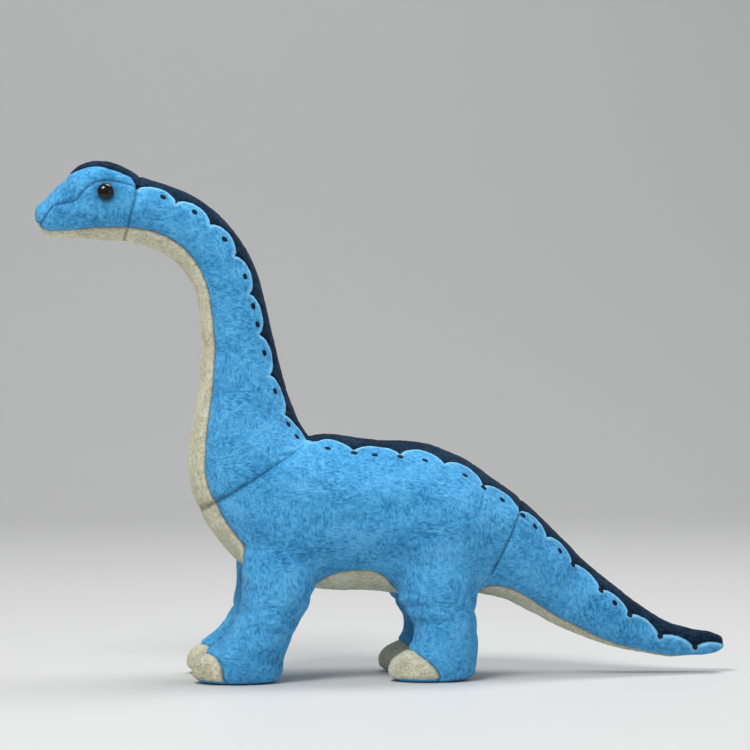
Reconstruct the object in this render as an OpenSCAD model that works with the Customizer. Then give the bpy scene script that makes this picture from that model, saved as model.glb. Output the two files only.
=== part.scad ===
// Stuffed long-necked dinosaur: sewn plush panels over stuffing, with a flexing neck, head, tail and legs.
// The snout points along -X, the tail along +X, and the animal's left side faces -Y.
// The origin is on the ground, below the middle of the whole toy.

/* [Overall] */
// Length from the snout to the tip of the tail
toy_length = 430; // [380:1:480]
// Width across the body
body_width = 92; // [86:1:100]
// Thickness of the plush fabric with its pile
fabric = 2.4; // [1.8:0.1:2.8]
// Gap between two pieces that lie against each other
clearance = 0.4; // [0.3:0.1:0.6]

/* [Back markings] */
// Scallops along the neck
neck_scallops = 8; // [6:1:10]
// Scallops along the body
body_scallops = 5; // [4:1:7]
// Scallops along the tail
tail_scallops = 7; // [5:1:9]
// Diameter of an embroidered spot
spot_diameter = 3.2; // [2.4:0.2:4]

/* [Eyes] */
// Diameter of the domed eye
eye_diameter = 10; // [9:0.5:12]
// Diameter of the shank behind the eye
shank_diameter = 3; // [2.5:0.5:4]
// Length of the shank
shank_length = 8; // [7:0.5:9]
// Diameter of the washer that locks the shank
washer_diameter = 13; // [11:1:14]

/* [Legs] */
// Distance of a leg's middle from the middle plane
leg_offset = 27; // [26:0.5:29]
// Half the width of a leg
leg_half_width = 17.5; // [16:0.5:18.5]
// Height of the toe cap's arch
toe_cap_height = 20; // [16:1:22]
// Largest swing of a leg either way, in degrees
leg_swing = 13; // [8:1:16]

/* [Hidden] */

light_blue = "#5ab4ee";
navy = "#14334f";
cream = "#d8d6b8";
white_fill = "#f4f4f0";
black_plastic = "#101012";
washer_white = "#e0e0dc";

nominal_length = 430;
nominal_width = 92;
k_len = toy_length / nominal_length;
k_wide = body_width / nominal_width;

// The trunk runs from the snout to the tail tip along one bent spine. Each station holds its centre x and z,
// its half height and half width, and the angles of the back seam and the belly seam from the top of the
// back, in degrees. Station numbers along the spine are the u used below.
STATIONS = [
  [-215.0, 281.5,  0.8,  0.8,  0.6, 146],
  [-212.0, 282.0,  8.5,  9.5,  0.6, 140],
  [-203.0, 284.0, 13.5, 13.5,  0.6, 137],
  [-190.0, 289.0, 20.0, 17.5,  4.0, 136],
  [-176.0, 293.5, 25.5, 22.0, 26.0, 134],
  [-156.0, 289.0, 21.5, 20.0, 44.0, 127],
  [-138.0, 284.0, 20.5, 19.0, 46.0, 122],
  [-121.0, 275.5, 20.0, 18.5, 46.0, 125],
  [-108.0, 263.0, 20.0, 18.5, 47.0, 129],
  [ -99.0, 247.0, 20.2, 18.5, 47.0, 132],
  [ -94.0, 228.0, 21.0, 19.0, 46.0, 134],
  [ -91.0, 207.0, 22.8, 20.5, 44.0, 135],
  [ -89.0, 187.0, 25.8, 23.0, 40.0, 137],
  [ -87.5, 166.0, 30.5, 27.5, 35.0, 139],
  [ -85.0, 146.0, 36.5, 33.0, 31.0, 141],
  [ -79.0, 127.0, 43.0, 38.0, 28.0, 142],
  [ -62.0, 110.0, 47.5, 42.5, 26.0, 142],
  [ -38.0, 102.5, 48.0, 45.0, 26.0, 141],
  [ -10.0, 100.0, 46.5, 46.0, 26.0, 141],
  [  16.0,  98.0, 46.5, 45.5, 27.0, 141],
  [  36.0,  94.0, 43.0, 43.5, 29.0, 140],
  [  54.0,  88.0, 37.0, 39.0, 31.0, 140],
  [  71.0,  80.5, 32.5, 33.5, 33.0, 139],
  [  90.0,  69.5, 26.5, 27.0, 36.0, 139],
  [ 111.0,  53.5, 22.3, 22.0, 40.0, 142],
  [ 133.0,  39.8, 19.0, 18.5, 48.0, 147],
  [ 155.0,  28.3, 15.2, 15.0, 60.0, 155],
  [ 174.0,  21.3, 11.5, 11.8, 75.0, 163],
  [ 192.0,  18.2,  9.0,  9.5, 90.0, 168],
  [ 206.0,  17.5,  7.5,  8.0, 94.0, 170],
  [ 213.0,  17.5,  4.6,  5.0, 94.0, 170],
  [ 215.0,  17.5,  0.8,  0.8, 94.0, 170]
];
// The seam between brow and cheek, as angles at the head's stations
BROW_ANGLES = [130, 100, 61, 75, 60, 48];

head_seam = 5;
shoulder_seam = 15;
tail_seam = 22;
tail_end = len(STATIONS) - 1;
crest_front = 3;
head_rows = 10;
crest_rows = 8;
head_stuffing_front = 0.7;
head_panels_front = 0.3;

// Ball joints: station of the ball's centre and its radius. The ball belongs to the side that holds its
// centre; the other side has the matching socket.
head_ball_at = 5.55;
head_ball_radius = 24.5;
neck_ball_at = 9.8;
neck_ball_radius = 29.2;
shoulder_ball_at = 13.8;
shoulder_ball_radius = 50;
tail_ball_at = 22.85;
tail_ball_radius = 40.5;
tail_tip_ball_at = 25.75;
tail_tip_ball_radius = 25;
// How many stations from its centre the walls of a ball are searched for
head_ball_search = 2.2;
neck_ball_search = 2.5;
shoulder_ball_search = 3.5;
tail_ball_search = 3;
tail_tip_ball_search = 2.5;

// Where the embroidered spots lie, counted in scallops from the front of their part
NECK_SPOTS = [0.65, 1.5, 2.5, 3.55, 4.3, 4.75, 5.45, 6.4, 7.25, 7.6];
BODY_SPOTS = [0.45, 1.0, 1.45, 2.0, 2.55, 3.5, 4.0, 4.5];
TAIL_SPOTS = [0.1, 0.55, 1.5, 2.0, 3.0, 3.5, 4.0, 5.0, 6.0];
spot_below_seam = 9;
spot_height = 0.6;
spot_lift = 1.7;
spot_sides = 24;

// Legs: the height of each ring, with its middle x and half length, for a front and a hind leg
FRONT_RINGS = [
  [0, -92.5, 24.5], [3, -93.2, 28], [8, -93, 29], [14, -91.5, 28.6], [20, -86.5, 26],
  [28, -79.5, 22.4], [36, -75, 21.4], [46, -70.5, 22], [58, -68, 22.5]
];
HIND_RINGS = [
  [0, 26, 23.5], [3, 26.5, 27], [8, 27, 27.8], [14, 29, 26.5], [20, 33.5, 22.4],
  [28, 35, 20.5], [36, 34, 20.8], [46, 30.5, 23.8], [58, 30.5, 26]
];
front_hip_x = -69;
hind_hip_x = 30.5;
toe_cap_spread = 70;
sole_inset = 1.2;
column_top = 0.88;

// Tessellation
side_steps = 8;
gusset_steps = 5;
cap_steps = 5;
leg_steps = 24;
solve_steps = 18;
seam_gap = 0.008;
// Smallest half height and half width of the trunk, and smallest half angle of its back
least_half = 0.2;
least_back_angle = 0.6;

// The stuffing lies below the fabric, with room for the flat facets of both
facet_room = 0.7;
stuffing_depth = fabric + clearance + facet_room;

function lerp(a, b, f) = a + (b - a) * f;
function cubic(p, q, r, s, f) =
  0.5 * (2 * q + (r - p) * f + (2 * p - 5 * q + 4 * r - s) * f * f + (3 * q - p - 3 * r + s) * f * f * f);
function cubic_slope(p, q, r, s, f) =
  0.5 * (r - p + 2 * (2 * p - 5 * q + 4 * r - s) * f + 3 * (3 * q - p - 3 * r + s) * f * f);
function at(table, i) = table[max(0, min(len(table) - 1, i))];
function segment(table, u) = max(0, min(len(table) - 2, floor(u)));
function along(table, u) =
  let (i = segment(table, u), f = u - i)
  cubic(at(table, i - 1), at(table, i), at(table, i + 1), at(table, i + 2), f);
function slope(table, u) =
  let (i = segment(table, u), f = u - i)
  cubic_slope(at(table, i - 1), at(table, i), at(table, i + 1), at(table, i + 2), f);

// A point of the trunk: u along the spine, angle from the top of the back, depth below the outer surface,
// and reach from 0 at the spine to 1 at that depth
function trunk_point(u, angle, depth = 0, reach = 1) =
  let (
    s = along(STATIONS, u),
    t = slope(STATIONS, u),
    n = norm([t[0], t[1]]),
    up = max(least_half, s[2] - depth) * reach * cos(angle),
    out = max(least_half, s[3] * k_wide - depth) * reach * sin(angle)
  )
  [(s[0] - t[1] / n * up) * k_len, out, (s[1] + t[0] / n * up) * k_len];
function spine_point(u) = trunk_point(u, 0, 0, 0);
function back_angle(u) = max(least_back_angle, along(STATIONS, u)[4]);
function belly_angle(u) = along(STATIONS, u)[5];
function brow_angle(u) = along(BROW_ANGLES, u);

// Angle of a place on the ring: 0 to 1 is the back gusset, 1 to 2 the right side, 2 to 3 the belly gusset
// and 3 to 4 the left side
function ring_angle(u, w) =
  let (b = back_angle(u), v = belly_angle(u))
  w < 1 ? lerp(-b, b, w) :
  w < 2 ? lerp(b, v, w - 1) :
  w < 3 ? lerp(v, 360 - v, w - 2) :
  lerp(360 - v, 360 - b, w - 3);
// The same for the head, where the sides are split at the brow seam: 1 to 2 is the right brow, 2 to 3 the
// right cheek, 3 to 4 the chin, 4 to 5 the left cheek and 5 to 6 the left brow
function head_angle(u, w) =
  let (b = back_angle(u), m = brow_angle(u), v = belly_angle(u))
  w < 1 ? lerp(-b, b, w) :
  w < 2 ? lerp(b, m, w - 1) :
  w < 3 ? lerp(m, v, w - 2) :
  w < 4 ? lerp(v, 360 - v, w - 3) :
  w < 5 ? lerp(360 - v, 360 - m, w - 4) :
  lerp(360 - m, 360 - b, w - 5);
function place_angle(u, w, head) = head ? head_angle(u, w) : ring_angle(u, w);

// The station between near and far at which the trunk's wall is the radius away from the ball's centre
function meet_ball(w, depth, reach, head, centre, radius, near, far, n = 0) =
  n == solve_steps ? (near + far) / 2 :
  let (
    middle = (near + far) / 2,
    p = trunk_point(middle, place_angle(middle, w, head), depth, reach)
  )
  norm(p - centre) < radius ?
    meet_ball(w, depth, reach, head, centre, radius, middle, far, n + 1) :
    meet_ball(w, depth, reach, head, centre, radius, near, middle, n + 1);

// An end of a trunk part is [ball station, ball radius, station to search towards, side], where side is 1
// on the ball's own part and -1 on the socket's. An end of [u] is cut straight at that station.
function end_station(end, w, depth, reach, head) =
  len(end) == 1 ? end[0] :
  let (centre = spine_point(end[0]), radius = end[1] - end[3] * (clearance + facet_room) / 2)
  meet_ball(w, depth, reach, head, centre, radius, end[0], end[2]);

head_end = [head_ball_at, head_ball_radius, head_ball_at - head_ball_search, -1];
upper_neck_front = [head_ball_at, head_ball_radius, head_ball_at - head_ball_search, 1];
upper_neck_rear = [neck_ball_at, neck_ball_radius, neck_ball_at + neck_ball_search, 1];
lower_neck_front = [neck_ball_at, neck_ball_radius, neck_ball_at + neck_ball_search, -1];
lower_neck_rear = [shoulder_ball_at, shoulder_ball_radius, shoulder_ball_at + shoulder_ball_search, 1];
body_front = [shoulder_ball_at, shoulder_ball_radius, shoulder_ball_at + shoulder_ball_search, -1];
body_rear = [tail_ball_at, tail_ball_radius, tail_ball_at - tail_ball_search, -1];
tail_front = [tail_ball_at, tail_ball_radius, tail_ball_at - tail_ball_search, 1];
tail_rear = [tail_tip_ball_at, tail_tip_ball_radius, tail_tip_ball_at - tail_tip_ball_search, -1];
tail_tip_front = [tail_tip_ball_at, tail_tip_ball_radius, tail_tip_ball_at - tail_tip_ball_search, 1];

// Solid between rings of equal size, each closed in itself, with a fan over the first and the last ring
module rings_solid(rings) {
  n = len(rings);
  m = len(rings[0]);
  first = [for (c = [0:2]) sum_of([for (p = rings[0]) p[c]]) / m];
  last = [for (c = [0:2]) sum_of([for (p = rings[n - 1]) p[c]]) / m];
  points = concat([for (r = rings) each r], [first, last]);
  walls = [for (i = [0:n - 2], j = [0:m - 1]) each let (jj = (j + 1) % m)
    [[i * m + j, (i + 1) * m + jj, (i + 1) * m + j], [i * m + j, i * m + jj, (i + 1) * m + jj]]];
  fans = [for (j = [0:m - 1]) each let (jj = (j + 1) % m)
    [[n * m, jj, j], [n * m + 1, (n - 1) * m + j, (n - 1) * m + jj]]];
  polyhedron(points, concat(walls, fans));
}

// Solid between two sheets of rows, outer and inner, joined along their four edges
module sheet_solid(outer, inner) {
  n = len(outer);
  m = len(outer[0]);
  s = n * m;
  points = concat([for (r = outer) each r], [for (r = inner) each r]);
  faces = [
    for (i = [0:n - 2], j = [0:m - 2]) each
      let (a = i * m + j, b = a + 1, c = a + m + 1, d = a + m)
      [[a, c, d], [a, b, c], [s + a, s + d, s + c], [s + a, s + c, s + b]],
    for (i = [0:n - 2]) each
      let (a = i * m, d = a + m, b = a + m - 1, c = b + m)
      [[a, d, s + d], [a, s + d, s + a], [b, s + c, c], [b, s + b, s + c]],
    for (j = [0:m - 2]) each
      let (a = j, b = j + 1, d = (n - 1) * m + j, c = d + 1)
      [[a, s + b, b], [a, s + a, s + b], [d, c, s + c], [d, s + c, s + d]]
  ];
  polyhedron(points, faces);
}

function sum_of(list, i = 0, total = 0) = i == len(list) ? total : sum_of(list, i + 1, total + list[i]);
// Divisions across the panel that starts at a place of the ring
function panel_steps(from, head) =
  from == 0 || from == (head ? 3 : 2) ? gusset_steps : head ? side_steps / 2 : side_steps;
// Places round the whole ring, with the gussets and the sides divided as their panels are
function ring_places(head) = [
  for (part = [0:head ? 5 : 3]) let (steps = panel_steps(part, head)) for (i = [0:steps - 1]) part + i / steps
];

// Sewn panel of the trunk over one stretch of the ring, between two ends
module trunk_panel(front, rear, from, to, rows, head = false) {
  steps = panel_steps(from, head);
  places = [for (i = [0:steps]) lerp(from + seam_gap, to - seam_gap, i / steps)];
  sheets = [for (depth = [0, fabric]) [for (r = [0:rows]) [for (w = places)
    let (
      a = end_station(front, w, depth, 1, head),
      b = end_station(rear, w, depth, 1, head),
      u = lerp(a, b, r / rows)
    )
    trunk_point(u, place_angle(u, w, head), depth)]]];
  sheet_solid(sheets[0], sheets[1]);
}

// Stuffing of the trunk between two ends
module trunk_stuffing(front, rear, rows, head = false) {
  depth = stuffing_depth;
  places = ring_places(head);
  reaches = [for (i = [1:cap_steps]) i / (cap_steps + 1)];
  rings = concat(
    [for (reach = reaches) [for (w = places)
      let (u = end_station(front, w, depth, reach, head))
      trunk_point(u, place_angle(u, w, head), depth, reach)]],
    [for (r = [0:rows]) [for (w = places)
      let (
        a = end_station(front, w, depth, 1, head),
        b = end_station(rear, w, depth, 1, head),
        u = lerp(a, b, r / rows)
      )
      trunk_point(u, place_angle(u, w, head), depth)]],
    [for (i = [1:cap_steps]) let (reach = reaches[cap_steps - i]) [for (w = places)
      let (u = end_station(rear, w, depth, reach, head))
      trunk_point(u, place_angle(u, w, head), depth, reach)]]
  );
  rings_solid(rings);
}

// Scallops are even along the back seam, so stations are looked up by the seam's running length
track_steps = 4;
TRACK = [for (i = [0:track_steps * tail_end]) i / track_steps];
TRACK_POINTS = [for (u = TRACK) trunk_point(u, back_angle(u))];
TRACK_LENGTHS = [
  for (i = 0, s = 0; i < len(TRACK); i = i + 1, s = s + norm(at(TRACK_POINTS, i) - TRACK_POINTS[i - 1])) s
];
STATION_BY_LENGTH = [for (i = [0:len(TRACK) - 1]) [TRACK_LENGTHS[i], TRACK[i]]];
LENGTH_BY_STATION = [for (pair = STATION_BY_LENGTH) [pair[1], pair[0]]];
function station_between(first, last, f) =
  lookup(lerp(lookup(first, LENGTH_BY_STATION), lookup(last, LENGTH_BY_STATION), f), STATION_BY_LENGTH);

// Embroidered spots: the station of each, and the trunk part whose panel holds it, counted from the neck's
// front part, with the balls as the borders
SPOT_STATIONS = concat(
  [for (place = NECK_SPOTS) station_between(head_seam, shoulder_seam, place / neck_scallops)],
  [for (place = BODY_SPOTS) station_between(shoulder_seam, tail_seam, place / body_scallops)],
  [for (place = TAIL_SPOTS) station_between(tail_seam, tail_end, place / tail_scallops)]
);
function spot_point(u, lift = 0) = trunk_point(u, back_angle(u) + spot_below_seam, -lift);
function beyond(u, p, station, radius, way) =
  norm(p - spine_point(station)) < radius || (u - station) * way > 0;
function spot_part(u, p) =
  beyond(u, p, neck_ball_at, neck_ball_radius, -1) ? 0 :
  beyond(u, p, shoulder_ball_at, shoulder_ball_radius, -1) ? 1 :
  beyond(u, p, tail_tip_ball_at, tail_tip_ball_radius, 1) ? 4 :
  beyond(u, p, tail_ball_at, tail_ball_radius, 1) ? 3 : 2;

module part_spots(part) color(navy)
  for (u = SPOT_STATIONS) {
    p = spot_point(u);
    away = (spot_point(u, 1) - p) / norm(spot_point(u, 1) - p);
    if (spot_part(u, p) == part)
      for (side = [-1, 1]) on_side(side)
        translate(p + away * spot_lift)
          rotate([0, acos(away[2]), atan2(away[1], away[0])])
            cylinder(d = spot_diameter, h = spot_height, $fn = spot_sides);
  }

// Eyes
eye_station = 4.15;
eye_angle = 76;
eye_dome = 0.36;
washer_thickness = 1.5;
washer_behind = 2.3;
washer_play = 0.1;
dome_sides = 64;
shank_sides = 32;
washer_sides = 48;
// How far a cutting solid reaches past the one it cuts
overshoot = 1;

module at_eye(side) {
  p = trunk_point(eye_station, side * eye_angle);
  q = trunk_point(eye_station, side * eye_angle, -1);
  away = (q - p) / norm(q - p);
  translate(p) rotate([0, acos(away[2]), atan2(away[1], away[0])]) children();
}

// Flat-backed dome of plastic on a round shank, its flat back just clear of the pile
module eye(side) {
  dome = eye_diameter * eye_dome;
  ball = (pow(eye_diameter / 2, 2) + pow(dome, 2)) / (2 * dome);
  at_eye(side) {
    translate([0, 0, clearance])
      intersection() {
        translate([0, 0, dome - ball]) sphere(r = ball, $fn = dome_sides);
        cylinder(d = eye_diameter + 2 * overshoot, h = dome + overshoot, $fn = dome_sides);
      }
    translate([0, 0, clearance - shank_length])
      cylinder(d = shank_diameter, h = shank_length, $fn = shank_sides);
  }
}

module eye_hole(side) {
  at_eye(side) translate([0, 0, -shank_length - overshoot])
    cylinder(d = shank_diameter + 2 * clearance, h = shank_length + 4 * overshoot, $fn = shank_sides);
}

module washer(side) {
  at_eye(side) translate([0, 0, -fabric - washer_behind - washer_thickness])
    difference() {
      cylinder(d = washer_diameter, h = washer_thickness, $fn = washer_sides);
      translate([0, 0, -overshoot])
        cylinder(d = shank_diameter + washer_play, h = washer_thickness + 2 * overshoot, $fn = shank_sides);
    }
}

module washer_pocket(side) {
  at_eye(side) translate([0, 0, -fabric - washer_behind - washer_thickness - clearance])
    cylinder(
      d = washer_diameter + 2 * clearance,
      h = washer_thickness + washer_behind + fabric,
      $fn = washer_sides
    );
}

// Height of the trunk's underside above a point of the ground plan
function under_point(u, y) =
  let (half = along(STATIONS, u)[3] * k_wide, s = max(-column_top, min(column_top, y / half)))
  trunk_point(u, 180 - asin(s));
function under_station(x, y, near, far, n = 0) =
  n == solve_steps ? (near + far) / 2 :
  let (middle = (near + far) / 2)
  under_point(middle, y)[0] < x ?
    under_station(x, y, middle, far, n + 1) :
    under_station(x, y, near, middle, n + 1);
under_front = head_seam + 8;
under_rear = tail_seam + 1;
function under_height(x, y) = under_point(under_station(x, y, under_front, under_rear), y)[2];

// A point of a leg: height, angle from straight ahead towards the outside, depth below the surface, reach
function ring_at(table, z, i = 0) =
  i >= len(table) - 2 || z <= table[i + 1][0] ?
    let (f = (z - table[i][0]) / (table[i + 1][0] - table[i][0]))
    cubic(at(table, i - 1), at(table, i), at(table, i + 1), at(table, i + 2), min(1, f)) :
    ring_at(table, z, i + 1);
function leg_point(table, z, angle, depth, reach = 1) =
  let (r = ring_at(table, z))
  [
    (r[1] - max(1, r[2] - depth) * reach * cos(angle)) * k_len,
    leg_offset * k_wide + max(1, leg_half_width * foot_width(z) - depth) * reach * sin(angle),
    z * k_len
  ];
// The foot is narrower at the sole, up to this height
foot_edge = 3;
foot_taper = 0.1;
function foot_width(z) = z < foot_edge ? 1 - foot_taper * (1 - z / foot_edge) : 1;
// The top of a leg's column keeps clear of the trunk, with room for the leg's swing
function column_end(table, angle, depth, reach, hip_x) =
  let (
    p = leg_point(table, leg_top, angle, depth, reach * top_taper),
    room = clearance + top_gap + abs(p[0] - hip_x * k_len) * sin(leg_swing)
  )
  [p[0], p[1], max((leg_top - leg_top_play) * k_len, under_height(p[0], p[1]) - room)];
leg_top = 58;
leg_top_play = 9;
top_taper = 0.95;
top_gap = 3.4;
leg_shoulder = 46;

LEG_LEVELS = concat(
  [fabric + clearance],
  [for (part = [0.25, 0.45, 0.65, 0.85, 1]) part * toe_cap_height],
  [28, 36, leg_shoulder]
);
// Half the angle that the toe cap spans at a height, straight between the levels
function toe_spread(z) = toe_cap_spread * sqrt(max(0, 1 - pow(z / toe_cap_height, 2)));
TOE_EDGE = [for (z = LEG_LEVELS) if (z <= toe_cap_height) [z, toe_spread(z)]];
panel_gap = 1.2;
toe_cap_rim = 0.5;
toe_cap_steps = 10;
// The stuffing's top closes in over these rings, as parts of its full reach
LEG_TOP_REACHES = [1, 0.7, 0.35];

// Panel of a leg from the sole up to the trunk: side is 1 outside and -1 inside
module leg_panel(table, side, hip_x) {
  half = leg_steps / 2;
  sheets = [for (depth = [0, fabric]) concat(
    [for (z = LEG_LEVELS) [for (i = [0:half])
      let (first = (z < toe_cap_height ? lookup(z, TOE_EDGE) : 0) + panel_gap)
      leg_point(table, z, side * lerp(first, 180 - panel_gap, i / half), depth)]],
    [[for (i = [0:half])
      column_end(table, side * lerp(panel_gap, 180 - panel_gap, i / half), depth, 1, hip_x)]]
  )];
  if (side > 0) sheet_solid(sheets[1], sheets[0]);
  else sheet_solid(sheets[0], sheets[1]);
}

module leg_stuffing(table, hip_x) {
  depth = stuffing_depth;
  angles = [for (i = [0:leg_steps - 1]) i * 360 / leg_steps];
  levels = [for (z = LEG_LEVELS) z == LEG_LEVELS[0] ? z + facet_room : z];
  rings_solid(concat(
    [for (z = levels) [for (a = angles) leg_point(table, z, a, depth)]],
    [for (reach = LEG_TOP_REACHES) [for (a = angles) column_end(table, a, depth, reach, hip_x)]]
  ));
}

module toe_cap(table) {
  levels = [for (z = LEG_LEVELS) if (z < toe_cap_height) z, toe_cap_height - toe_cap_rim];
  sheets = [for (depth = [0, fabric]) [for (z = levels)
    let (edge = lookup(z, TOE_EDGE) - panel_gap)
    [for (i = [0:toe_cap_steps]) leg_point(table, z, lerp(-edge, edge, i / toe_cap_steps), depth)]]];
  sheet_solid(sheets[1], sheets[0]);
}

module sole(table) {
  angles = [for (i = [0:leg_steps - 1]) i * 360 / leg_steps];
  levels = [0, fabric / 2, fabric];
  rings_solid([for (z = levels) [for (a = angles) leg_point(table, z, a, z == 0 ? sole_inset : 0)]]);
}

// The left side is the mirror image of the right
module on_side(side) {
  if (side > 0) children();
  else mirror([0, 1, 0]) children();
}

module head_stuffing() color(white_fill) difference() {
  trunk_stuffing([head_stuffing_front], head_end, head_rows, true);
  for (side = [-1, 1]) {
    eye_hole(side);
    washer_pocket(side);
  }
}
module crest() color(navy) trunk_panel([crest_front], head_end, 0, 1, crest_rows, true);
module brow(side) color(light_blue)
  trunk_panel([head_panels_front], head_end, side > 0 ? 1 : 5, side > 0 ? 2 : 6, head_rows, true);
module cheek(side) color(light_blue) difference() {
  trunk_panel([head_panels_front], head_end, side > 0 ? 2 : 4, side > 0 ? 3 : 5, head_rows, true);
  eye_hole(side);
}
module chin() color(cream) trunk_panel([head_panels_front], head_end, 3, 4, head_rows, true);

head_stuffing();
crest();
brow(-1);  // brow_left
brow(1);  // brow_right
cheek(-1);  // cheek_left
cheek(1);  // cheek_right
chin();
color(black_plastic) eye(-1);  // eye_left
color(black_plastic) eye(1);  // eye_right
color(washer_white) for (side = [-1, 1]) washer(side);  // eye_washers

// The five trunk parts behind the head, each with a stuffing, a back gusset, two sides and an underside
module part_stuffing(front, rear, rows) color(white_fill) trunk_stuffing(front, rear, rows);
module part_back(front, rear, rows) color(navy) trunk_panel(front, rear, 0, 1, rows);
module part_side(front, rear, rows, side) color(light_blue)
  trunk_panel(front, rear, side > 0 ? 1 : 3, side > 0 ? 2 : 4, rows);
module part_underside(front, rear, rows) color(cream) trunk_panel(front, rear, 2, 3, rows);

neck_rows = 8;
part_stuffing(upper_neck_front, upper_neck_rear, neck_rows);  // upper_neck_stuffing
part_back(upper_neck_front, upper_neck_rear, neck_rows);  // upper_neck_back
part_side(upper_neck_front, upper_neck_rear, neck_rows, -1);  // upper_neck_left
part_side(upper_neck_front, upper_neck_rear, neck_rows, 1);  // upper_neck_right
part_underside(upper_neck_front, upper_neck_rear, neck_rows);  // upper_neck_throat

part_stuffing(lower_neck_front, lower_neck_rear, neck_rows);  // lower_neck_stuffing
part_back(lower_neck_front, lower_neck_rear, neck_rows);  // lower_neck_back
part_side(lower_neck_front, lower_neck_rear, neck_rows, -1);  // lower_neck_left
part_side(lower_neck_front, lower_neck_rear, neck_rows, 1);  // lower_neck_right
part_underside(lower_neck_front, lower_neck_rear, neck_rows);  // lower_neck_throat

body_rows = 10;
part_stuffing(body_front, body_rear, body_rows);  // body_stuffing
part_back(body_front, body_rear, body_rows);  // body_back
part_side(body_front, body_rear, body_rows, -1);  // body_left
part_side(body_front, body_rear, body_rows, 1);  // body_right
part_underside(body_front, body_rear, body_rows);  // belly

tail_rows = 6;
part_stuffing(tail_front, tail_rear, tail_rows);  // tail_stuffing
part_back(tail_front, tail_rear, tail_rows);  // tail_back
part_side(tail_front, tail_rear, tail_rows, -1);  // tail_left
part_side(tail_front, tail_rear, tail_rows, 1);  // tail_right
part_underside(tail_front, tail_rear, tail_rows);  // tail_underside

tip_rows = 9;
// The tip's panels and stuffing are cut straight this many stations before the end
tip_cut = 0.2;
tip_stuffing_cut = 1.2;
tip_end = [tail_end - tip_cut];
tip_stuffing_end = [tail_end - tip_stuffing_cut];
part_stuffing(tail_tip_front, tip_stuffing_end, tip_rows);  // tail_tip_stuffing
part_back(tail_tip_front, tip_end, tip_rows);  // tail_tip_back
part_side(tail_tip_front, tip_end, tip_rows, -1);  // tail_tip_left
part_side(tail_tip_front, tip_end, tip_rows, 1);  // tail_tip_right
part_underside(tail_tip_front, tip_end, tip_rows);  // tail_tip_underside

// Legs
module stuffing_of(side, table, hip_x) color(white_fill) on_side(side) leg_stuffing(table, hip_x);
module outer_of(side, table, hip_x) color(light_blue) on_side(side) leg_panel(table, 1, hip_x);
module inner_of(side, table, hip_x) color(light_blue) on_side(side) leg_panel(table, -1, hip_x);
module toes_of(side, table) color(cream) on_side(side) toe_cap(table);
module sole_of(side, table) color(light_blue) on_side(side) sole(table);

stuffing_of(-1, FRONT_RINGS, front_hip_x);  // front_left_leg_stuffing
outer_of(-1, FRONT_RINGS, front_hip_x);  // front_left_leg_outer
inner_of(-1, FRONT_RINGS, front_hip_x);  // front_left_leg_inner
toes_of(-1, FRONT_RINGS);  // front_left_toe_cap
sole_of(-1, FRONT_RINGS);  // front_left_sole
stuffing_of(1, FRONT_RINGS, front_hip_x);  // front_right_leg_stuffing
outer_of(1, FRONT_RINGS, front_hip_x);  // front_right_leg_outer
inner_of(1, FRONT_RINGS, front_hip_x);  // front_right_leg_inner
toes_of(1, FRONT_RINGS);  // front_right_toe_cap
sole_of(1, FRONT_RINGS);  // front_right_sole
stuffing_of(-1, HIND_RINGS, hind_hip_x);  // hind_left_leg_stuffing
outer_of(-1, HIND_RINGS, hind_hip_x);  // hind_left_leg_outer
inner_of(-1, HIND_RINGS, hind_hip_x);  // hind_left_leg_inner
toes_of(-1, HIND_RINGS);  // hind_left_toe_cap
sole_of(-1, HIND_RINGS);  // hind_left_sole
stuffing_of(1, HIND_RINGS, hind_hip_x);  // hind_right_leg_stuffing
outer_of(1, HIND_RINGS, hind_hip_x);  // hind_right_leg_outer
inner_of(1, HIND_RINGS, hind_hip_x);  // hind_right_leg_inner
toes_of(1, HIND_RINGS);  // hind_right_toe_cap
sole_of(1, HIND_RINGS);  // hind_right_sole

// Spots, each on the trunk part that its place belongs to
part_spots(0);  // upper_neck_spots
part_spots(1);  // lower_neck_spots
part_spots(2);  // body_spots
part_spots(3);  // tail_spots
part_spots(4);  // tail_tip_spots
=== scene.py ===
"""Stuffed long-necked dinosaur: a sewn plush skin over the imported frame, cut along its real seams."""

import math

import bpy
import numpy as np
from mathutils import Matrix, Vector
from mathutils.kdtree import KDTree


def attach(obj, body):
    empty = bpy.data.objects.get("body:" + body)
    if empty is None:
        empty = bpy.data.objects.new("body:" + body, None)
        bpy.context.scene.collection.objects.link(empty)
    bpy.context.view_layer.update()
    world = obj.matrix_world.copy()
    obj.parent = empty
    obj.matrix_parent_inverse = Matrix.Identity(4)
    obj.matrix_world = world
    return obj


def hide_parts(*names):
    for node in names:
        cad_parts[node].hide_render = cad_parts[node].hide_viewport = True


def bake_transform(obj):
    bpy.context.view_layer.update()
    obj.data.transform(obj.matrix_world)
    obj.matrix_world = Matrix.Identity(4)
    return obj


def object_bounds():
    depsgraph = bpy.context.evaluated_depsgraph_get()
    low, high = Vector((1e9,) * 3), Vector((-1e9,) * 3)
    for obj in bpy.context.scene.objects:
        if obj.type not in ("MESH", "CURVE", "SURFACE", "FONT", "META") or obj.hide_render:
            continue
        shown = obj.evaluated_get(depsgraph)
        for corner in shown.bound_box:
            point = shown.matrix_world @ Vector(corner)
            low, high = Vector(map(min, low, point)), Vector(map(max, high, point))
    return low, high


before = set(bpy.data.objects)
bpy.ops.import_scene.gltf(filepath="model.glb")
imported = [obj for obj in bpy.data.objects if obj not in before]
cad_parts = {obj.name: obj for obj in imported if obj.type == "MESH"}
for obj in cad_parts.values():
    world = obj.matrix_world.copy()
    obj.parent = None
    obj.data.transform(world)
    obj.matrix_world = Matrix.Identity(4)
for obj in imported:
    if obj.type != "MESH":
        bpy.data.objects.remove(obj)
CAD_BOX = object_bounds()

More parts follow.
